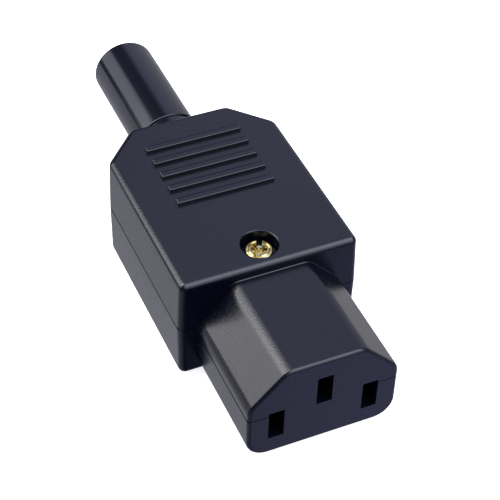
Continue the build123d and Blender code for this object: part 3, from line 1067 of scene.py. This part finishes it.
@cache
def scatter_tree() -> Tree:
    """Builds the node tree that sets a copy of one screw on each point of a mesh.

    Returns:
        The tree, made once, with inputs for the screw, the seed and the finish.
    """
    kinds = {"Seats": "Geometry", "Screw": "Object", "Seed": "Int", "Finish": "Material"}
    tree, given = open_group("set_screws", kinds, "Screws")
    screw = add_node(tree, "GeometryNodeObjectInfo", {"Object": given["Screw"]})
    span = {"Min": 0.0, "Max": math.tau, "Seed": given["Seed"]}
    turn = add_node(tree, "FunctionNodeRandomValue", span, data_type="FLOAT")
    angle = add_node(tree, "ShaderNodeCombineXYZ", {"Z": turn.outputs[1]})
    rotation = add_node(tree, "FunctionNodeEulerToRotation", {"Euler": angle.outputs["Vector"]}).outputs["Rotation"]
    copies = {"Points": given["Seats"], "Instance": screw.outputs["Geometry"], "Rotation": rotation}
    screws = add_node(tree, "GeometryNodeInstanceOnPoints", copies)
    return close_group(tree, screws.outputs["Instances"], given["Finish"])


@dataclass(frozen=True)
class ThreadedScrew:
    """Turned screw with a round head, a driving recess and a rolled thread."""

    name: str
    head_tall: float
    pitch: float
    thread_deep: float = 0.3 * MM
    slot_wide: float = 0.7 * MM
    slot_deep: float = 0.8 * MM
    edge_round: float = 0.3 * MM
    edge_steps: int = 8
    # Rounding under the head, as a share of the upper edge's
    under_share: float = 1 / 3
    under_steps: int = 3
    # Length of the point's chamfer and radius of its end, as shares of the core's radius
    point: Pair = (0.3, 0.7)
    # Length and spread of the cone between the thread and the head, as shares of the pitch
    neck: Pair = (0.5, 0.25)
    drive: Drive = Drive.SLOT
    cross_long: float = 2.3 * MM
    cross_wide: float = 0.55 * MM
    cross_deep: float = 0.7 * MM
    pit_wide: float = 1.6 * MM
    pit_deep: float = 0.75 * MM
    taper: float = 0.45
    drive_turn: float = 0.0
    slot_ramp_long: float = 0.7 * MM
    slot_ramp_drop: float = 0.0
    # The heading die's groove inside the rim: its depth, and how many depths in from the rim its
    # outer edge, its floor and its inner edge lie
    ring_groove: float = 0.0
    ring_places: tuple[float, float, float] = (1.0, 1.8, 3.2)
    # How far the tools of the slot and of the cross stand out of the head
    slot_over: float = 0.2 * MM
    cross_over: float = 0.1 * MM
    steps: int = 96

    def build(self, seat: Vector, head_radius: float, shank_radius: float, tip: float) -> Piece:
        """Makes one screw.

        Args:
            seat: Centre of the face under the head.
            head_radius: Radius of the head.
            shank_radius: Radius over the thread's crests.
            tip: Height of the screw's lower end.

        Returns:
            The screw as one object, with no finish yet.
        """
        core = shank_radius - self.thread_deep
        end, rim = tip - seat.z, head_radius - self.edge_round
        top, edge, under = self.head_tall, self.edge_round, self.edge_round * self.under_share
        profile = [
            (end, 0.0),
            (end, core * self.point[1]),
            (end + core * self.point[0], core),
            (-self.pitch * self.neck[0], core),
            (0.0, core + self.pitch * self.neck[1]),
            (0.0, head_radius - under),
            *arc((under, head_radius - under), under, 180, 90, self.under_steps),
            *arc((top - edge, rim), edge, 90, 0, self.edge_steps),
            *self.stamped_ring(rim),
            (top, 0.0),
        ]
        screw = turned(self.name, profile, Axis.UP, seat, self.steps, ring=False)
        combine(screw, self.drive_tools(seat, head_radius), "DIFFERENCE")
        shade(screw)
        thread = self.thread(seat, core, shank_radius, tip)
        bm = bmesh.new()
        bm.from_mesh(screw.data)
        bm.from_mesh(thread.data)
        bm.to_mesh(screw.data)
        bm.free()
        bpy.data.objects.remove(thread)
        return screw

    def stamped_ring(self, rim: float) -> list[Point]:
        """Gives the profile of the fine groove that the heading die leaves inside the rim.

        Args:
            rim: Radius at which the head's flat starts.

        Returns:
            Three points down into the groove and up again, or none.
        """
        deep, top = self.ring_groove, self.head_tall
        outer, floor, inner = (rim - deep * place for place in self.ring_places)
        return [(top, outer), (top - deep, floor), (top, inner)] if deep else []

    def drive_tools(self, seat: Vector, head_radius: float) -> list[Piece]:
        """Makes the closed tools that cut the driving recess.

        Args:
            seat: Centre of the face under the head.
            head_radius: Radius of the head.

        Returns:
            A bar for the slot, and for the cross a tapered pit and two tapered blades.
        """
        mouth = Matrix.Translation(seat + Vector((0, 0, self.head_tall)))
        place = mouth @ Matrix.Rotation(self.drive_turn, 4, "Z")
        reach, crest = head_radius + self.slot_over, head_radius - self.slot_ramp_long
        level = -self.slot_deep
        ramp = level - self.slot_ramp_drop * (reach - crest) / self.slot_ramp_long
        floor = [(-reach, ramp), (-crest, level), (crest, level), (reach, ramp)]
        half = self.slot_wide / 2
        tools = [wedge("slot_tool", floor, (half, half), self.slot_over, place)]
        if self.drive is Drive.SLOT_AND_CROSS:
            cuts = (
                (self.pit_wide, self.pit_wide, self.pit_deep, 0.0),
                (self.cross_long, self.cross_wide, self.cross_deep, 0.0),
                (self.cross_long, self.cross_wide, self.cross_deep, math.pi / 2),
            )
            for long, wide, deep, turn in cuts:
                outer, inner = long / 2, long / 2 * self.taper
                floor = [(-outer, 0.0), (-inner, -deep), (inner, -deep), (outer, 0.0)]
                halves = (wide / 2, wide / 2 * self.taper)
                at = place @ Matrix.Rotation(turn, 4, "Z")
                tools.append(wedge("cross_tool", floor, halves, self.cross_over, at))
        return tools

    def thread(self, seat: Vector, core: float, crest: float, tip: float) -> Piece:
        """Grows the thread's ridge along a helix by geometry nodes.

        Args:
            seat: Centre of the face under the head.
            core: Radius of the shank under the thread.
            crest: Radius over the thread.
            tip: Height of the screw's lower end.

        Returns:
            The ridge as a closed object.
        """
        values = {
            "Core Radius": core,
            "Crest Radius": crest,
            "Pitch": self.pitch,
            "Length": seat.z - tip - 2 * self.pitch,
            "Start": (seat.x, seat.y, tip + self.pitch),
            "Finish": ZINC.material(),
        }
        return bake(grow(link_piece(f"{self.name}_thread"), thread_tree(), values))


@dataclass(frozen=True)
class CoverFastener:
    """Screw and washer that hold the cover, in the recess of the cover."""

    screw: ThreadedScrew = ThreadedScrew(
        name="cover_screw",
        head_tall=0.9 * MM,
        pitch=0.45 * MM,
        thread_deep=0.26 * MM,
        slot_wide=0.85 * MM,
        slot_deep=0.3 * MM,
        edge_round=0.32 * MM,
        drive=Drive.SLOT_AND_CROSS,
        drive_turn=math.radians(-25.0),
        slot_ramp_drop=0.35 * MM,
        ring_groove=0.1 * MM,
    )
    shank_radius: float = 1.25 * MM
    washer_bore: float = 1.35 * MM
    washer_edge: float = 0.08 * MM
    edge_steps: int = 3

    def build(self) -> None:
        """Makes the screw and the washer and dresses them."""
        whole = Extent.of("assembly_screw")
        seat = Vector((whole.centre.x, whole.centre.y, whole.high.z - self.screw.head_tall))
        screw = self.screw.build(seat, whole.size.x / 2, self.shank_radius, whole.low.z)
        settle(screw, YELLOW_ZINC, "screw", ["assembly_screw"])
        flat = Extent.of("assembly_washer")
        radius, thick, edge = flat.size.x / 2, flat.size.z, self.washer_edge
        profile = [
            (0.0, self.washer_bore),
            *arc((edge, radius - edge), edge, 180, 90, self.edge_steps),
            *arc((thick - edge, radius - edge), edge, 90, 0, self.edge_steps),
            (thick, self.washer_bore),
        ]
        centre = Vector((flat.centre.x, flat.centre.y, flat.low.z))
        washer = turned("screw_washer", profile, Axis.UP, centre, self.screw.steps, ring=True)
        shade(washer)
        settle(washer, BLACKENED, "washer", ["assembly_washer"])


@dataclass(frozen=True)
class Wiring:
    """Contacts, springs, terminals and cord clamp inside the casing."""

    poles: tuple[str, ...] = ("live", "neutral", "earth")
    terminal: ThreadedScrew = ThreadedScrew("terminal_screw", head_tall=1.7 * MM, pitch=0.5 * MM)
    clamp: ThreadedScrew = ThreadedScrew("clamp_screw", head_tall=1.4 * MM, pitch=0.8 * MM)
    terminal_shank: float = 1.5 * MM
    clamp_shank: float = 1.1 * MM
    seed: int = 7

    def build(self) -> None:
        """Dresses the nodes that keep their shape, and sets the small screws."""
        kept: dict[str, Finish] = {"thread_insert": BRASS, "cord_clamp_bar": CASING}
        for pole in self.poles:
            kept |= {f"{pole}_contact": BRASS, f"{pole}_spring": SPRING_STEEL, f"{pole}_saddle": ZINC}
        for node, finish in kept.items():
            finish.on(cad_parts[node])
            log.info("%s: kept, %s", node, finish.label)
        self.set_screws(self.terminal, self.terminal_shank, [f"{pole}_terminal_screw" for pole in self.poles])
        self.set_screws(self.clamp, self.clamp_shank, ["clamp_screw_left", "clamp_screw_right"])

    def set_screws(self, pattern: ThreadedScrew, shank_radius: float, nodes: list[str]) -> None:
        """Makes one screw and repeats it on every seat, each stopped at its own angle.

        Args:
            pattern: The screw.
            shank_radius: Radius over its thread.
            nodes: Packed screws that the set stands for.
        """
        boxes = [Extent.of(node) for node in nodes]
        tip = pattern.head_tall - boxes[0].size.z
        screw = pattern.build(Vector((0, 0, 0)), boxes[0].size.x / 2, shank_radius, tip)
        seats = [(b.centre.x, b.centre.y, b.high.z - pattern.head_tall) for b in boxes]
        row = link_piece(f"{pattern.name}s")
        row.data.from_pydata(seats, [], [])
        bake(grow(row, scatter_tree(), {"Screw": screw, "Seed": self.seed, "Finish": ZINC.material()}))
        bpy.data.objects.remove(screw)
        settle(row, ZINC, "casing", nodes)


@dataclass(frozen=True)
class Panel:
    """Soft light panel far from the object, round as seen from there."""

    way: tuple[float, float, float]
    strength: float
    # Angles in degrees from its middle, up to where it is whole and where it ends
    inner: float
    outer: float
    colour: str = "#e9edff"


@dataclass(frozen=True)
class Studio:
    """Pale floor, soft light panels all round and the camera."""

    floor_half: float = 5.0
    floor_colour: str = "#f7f7f8"
    floor_roughness: float = 0.9
    floor_glow: float = 0.9
    strength: float = 7.0
    # Five rings of light round the cord's axis, each by angle from the left horizon over the top.
    # The first is seen by rays that lean forward or hardly back. The others follow in the order in
    # which rays lean back: those that the nose, the casing and the sleeve mirror, and the rest.
    front: Ring = (
        (-180.0, "#31313b"), (-125.0, "#424356"), (-111.0, "#424356"), (-102.0, "#262733"), (-88.0, "#23242f"),
        (-75.0, "#2c2d38"), (-50.0, "#3f404a"), (-25.0, "#25262c"), (0.0, "#111217"), (20.0, "#1d1d24"),
        (60.0, "#2a2a31"), (150.0, "#2a2a31"), (180.0, "#31313b"),
    )
    over_nose: Ring = (
        (-180.0, "#4c4c4e"), (-142.0, "#525255"), (-125.0, "#68686a"), (-100.0, "#68686a"), (-88.0, "#505055"),
        (-45.0, "#535359"), (-4.0, "#535359"), (0.0, "#17171c"), (8.0, "#17171c"), (11.0, "#a8a8ab"),
        (28.0, "#a8a8ab"), (44.0, "#f2f2f6"), (56.0, "#ffffff"), (70.0, "#f6f6fa"), (80.0, "#cbcbd0"),
        (92.0, "#87878e"), (104.0, "#535562"), (113.0, "#505162"), (170.0, "#4e5059"), (180.0, "#4c4c4e"),
    )
    over_casing: Ring = (
        (-180.0, "#4c4c4e"), (-90.0, "#4b4b50"), (-58.0, "#515156"), (-38.0, "#3a3a41"), (-16.0, "#101015"),
        (-2.0, "#101015"), (6.0, "#cbcbce"), (43.0, "#cbcbce"), (53.0, "#13151d"), (96.0, "#13151d"),
        (110.0, "#565766"), (170.0, "#4e5059"), (180.0, "#4c4c4e"),
    )
    over_sleeve: Ring = (
        (-180.0, "#4c4c4e"), (-90.0, "#48484f"), (-60.0, "#4f4f56"), (-35.0, "#5a5a62"), (-9.0, "#62626c"),
        (-4.0, "#08080e"), (8.0, "#08080e"), (12.0, "#797d89"), (51.0, "#7c808c"), (62.0, "#23242f"),
        (98.0, "#23242f"), (107.0, "#3b3d4c"), (114.0, "#505261"), (125.0, "#555768"), (170.0, "#4e5059"),
        (180.0, "#4c4c4e"),
    )
    behind: Ring = (
        (-180.0, "#404045"), (-150.0, "#59595e"), (-60.0, "#59595e"), (0.0, "#17171d"), (100.0, "#0e0f14"),
        (165.0, "#0e0f14"), (180.0, "#404045"),
    )
    # How far a ray leans back, from where to where each ring gives way to the next
    front_to_nose: Pair = (-0.1, 0.35)
    nose_to_casing: Pair = (0.645, 0.665)
    casing_to_sleeve: Pair = (0.71, 0.732)
    sleeve_to_behind: Pair = (0.8, 0.85)
    # A soft box above the object, and a weaker one in front of it
    panels: tuple[Panel, ...] = (
        Panel((0.31, -0.23, 0.92), strength=2.9, inner=8.0, outer=32.0),
        Panel((0.31, -0.68, 0.66), strength=2.2, inner=8.0, outer=42.0),
    )
    # Camera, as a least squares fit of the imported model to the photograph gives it
    target: tuple[float, float, float] = (0.0, 30.0 * MM, 0.0)
    azimuth: float = -24.958
    elevation: float = 43.411
    roll: float = 2.017
    distance: float = 227.768 * MM
    slide_right: float = 2.043 * MM
    slide_up: float = 2.453 * MM
    focal_pixels: float = 1533.73
    frame_pixels: float = 500.0
    sensor: float = 36.0
    clip: Pair = (0.01, 10.0)

    def build(self) -> None:
        """Lays the floor, lights the world and sets the camera."""
        self.lay_floor()
        self.light_world()
        self.set_camera()
        bpy.context.scene.view_settings.view_transform = "Standard"

    def lay_floor(self) -> None:
        """Lays a plain floor at the object's lowest point."""
        low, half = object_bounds()[0][2], self.floor_half
        floor = link_piece("floor")
        corners = [(-half, -half, low), (half, -half, low), (half, half, low), (-half, half, low)]
        floor.data.from_pydata(corners, [], [(0, 1, 2, 3)])
        paint = bpy.data.materials.new("matt_white_board")
        paint.use_nodes = True
        look = {
            "Base Color": linear(self.floor_colour),
            "Roughness": self.floor_roughness,
            "Emission Color": linear(self.floor_colour),
            "Emission Strength": self.floor_glow,
        }
        feed(paint.node_tree, paint.node_tree.nodes["Principled BSDF"], look)
        floor.data.materials.append(paint)
        floor.visible_glossy = False
        floor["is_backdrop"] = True

    def ramp(self, tree: Tree, turn: Socket, stops: Ring) -> Socket:
        """Adds a colour ramp over the angle round the object.

        Args:
            tree: The world's tree.
            turn: Angle as a share of a full turn.
            stops: Angle in degrees and colour of each stop.

        Returns:
            The ramp's colour.
        """
        node = add_node(tree, "ShaderNodeValToRGB", {"Fac": turn})
        elements = node.color_ramp.elements
        for angle, colour in stops[1:-1]:
            elements.new((angle + 180) / 360).color = linear(colour)
        elements[0].color, elements[-1].color = linear(stops[0][1]), linear(stops[-1][1])
        return node.outputs["Color"]

    def light_world(self) -> None:
        """Paints the light panels into the world, by direction."""
        world = bpy.data.worlds.new("studio")
        bpy.context.scene.world = world
        world.use_nodes = True
        tree = world.node_tree
        ray = add_node(tree, "ShaderNodeTexCoord").outputs["Generated"]
        way = add_node(tree, "ShaderNodeSeparateXYZ", {0: ray}).outputs
        angle = calc(tree, "ARCTAN2", way["Z"], calc(tree, "MULTIPLY", way["X"], -1.0))
        turn = remap(tree, angle, (-math.pi, math.pi))
        light = self.ramp(tree, turn, self.front)
        for ring, lean in (
            (self.over_nose, self.front_to_nose),
            (self.over_casing, self.nose_to_casing),
            (self.over_sleeve, self.casing_to_sleeve),
            (self.behind, self.sleeve_to_behind),
        ):
            light = blend(tree, remap(tree, way["Y"], lean, smooth=True), light, self.ramp(tree, turn, ring))
        around = tree.nodes["Background"]
        feed(tree, around, {"Color": light, "Strength": self.strength})
        whole = around.outputs[0]
        for panel in self.panels:
            whole = add_node(tree, "ShaderNodeAddShader", {0: whole, 1: self.glow(tree, ray, panel)}).outputs[0]
        tree.links.new(whole, tree.nodes["World Output"].inputs["Surface"])

    def glow(self, tree: Tree, ray: Socket, panel: Panel) -> Socket:
        """Adds the light of one panel.

        Args:
            tree: The world's tree.
            ray: Direction that is looked in.
            panel: The panel.

        Returns:
            The panel's background shader.
        """
        middle = Vector(panel.way).normalized()
        facing = add_node(tree, "ShaderNodeVectorMath", {0: ray, 1: middle}, operation="DOT_PRODUCT")
        span = (math.cos(math.radians(panel.outer)), math.cos(math.radians(panel.inner)))
        strength = remap(tree, facing.outputs["Value"], span, (0.0, panel.strength), smooth=True)
        lit = {"Color": linear(panel.colour), "Strength": strength}
        return add_node(tree, "ShaderNodeBackground", lit).outputs[0]

    def set_camera(self) -> None:
        """Sets the camera at the angle that the 14 mm between the outer slots gives."""
        azimuth, elevation, roll = (math.radians(a) for a in (self.azimuth, self.elevation, self.roll))
        flat, rise = math.cos(elevation), math.sin(elevation)
        back = Vector((math.sin(azimuth) * flat, -math.cos(azimuth) * flat, rise))
        level = (-back).cross(Vector((0, 0, 1))).normalized()
        over = level.cross(-back)
        right = math.cos(roll) * level + math.sin(roll) * over
        up = -math.sin(roll) * level + math.cos(roll) * over
        place = Vector(self.target) + back * self.distance + right * self.slide_right + up * self.slide_up
        camera = bpy.data.objects.new("camera", bpy.data.cameras.new("camera"))
        camera.matrix_world = Matrix.Translation(place) @ Matrix((right, up, back)).transposed().to_4x4()
        camera.data.sensor_width = self.sensor
        camera.data.lens = self.focal_pixels / self.frame_pixels * self.sensor
        camera.data.clip_start, camera.data.clip_end = self.clip
        bpy.context.scene.collection.objects.link(camera)
        bpy.context.scene.camera = camera


def main() -> None:
    """Builds the connector piece by piece, then the studio."""
    logging.basicConfig(level=logging.INFO, format="%(message)s")
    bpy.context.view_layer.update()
    for assembly in (Casing(), CordSleeve(), CoverFastener(), Wiring(), Studio()):
        assembly.build()
        log.info("%s done", type(assembly).__name__)


if __name__ == "__main__":
    main()
